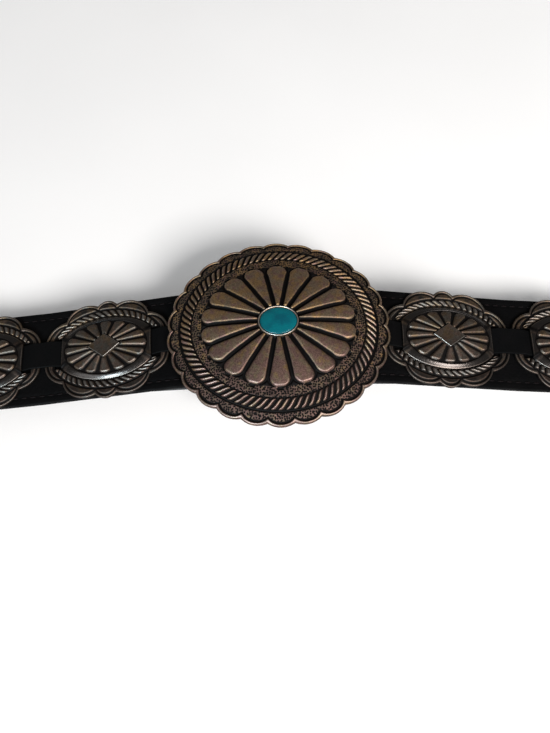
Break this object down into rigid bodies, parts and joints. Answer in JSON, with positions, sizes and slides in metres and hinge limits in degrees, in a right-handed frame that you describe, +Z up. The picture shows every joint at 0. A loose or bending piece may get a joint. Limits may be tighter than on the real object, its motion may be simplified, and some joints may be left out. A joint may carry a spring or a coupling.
{
  "type": "concho belt with elastic back",
  "caption": "Fastened western belt lying flat: oval cast buckle with turquoise stone, cast conchos threaded on a strap over black leather, plain elastic back.",
  "frame": {"origin": "on the surface the belt lies on, under the buckle's centre", "axes": "+X along the belt to the wearer's left as seen from the front, +Z up from the surface, out of the buckle's face"},
  "size_m": [0.4424, 0.0846, 0.0387],
  "materials": {
    "cast_metal": "antiqued cast metal, dark in the recesses",
    "plain_metal": "dull",
    "turquoise": "polished stone",
    "black_leather": "matt, stitched",
    "strap_leather": "matt",
    "elastic_webbing": "woven elastic"
  },
  "bodies": {
    "root": {"buckle": "cast_metal", "buckle_stone": "turquoise", "buckle_hook": "plain_metal", "leather_left": "black_leather", "leather_right": "black_leather", "strap_left": "strap_leather", "strap_right": "strap_leather", "concho_left_inner": "cast_metal", "concho_left_outer": "cast_metal", "concho_right_inner": "cast_metal", "concho_right_outer": "cast_metal", "elastic_band": "elastic_webbing"}
  },
  "joints": []
}
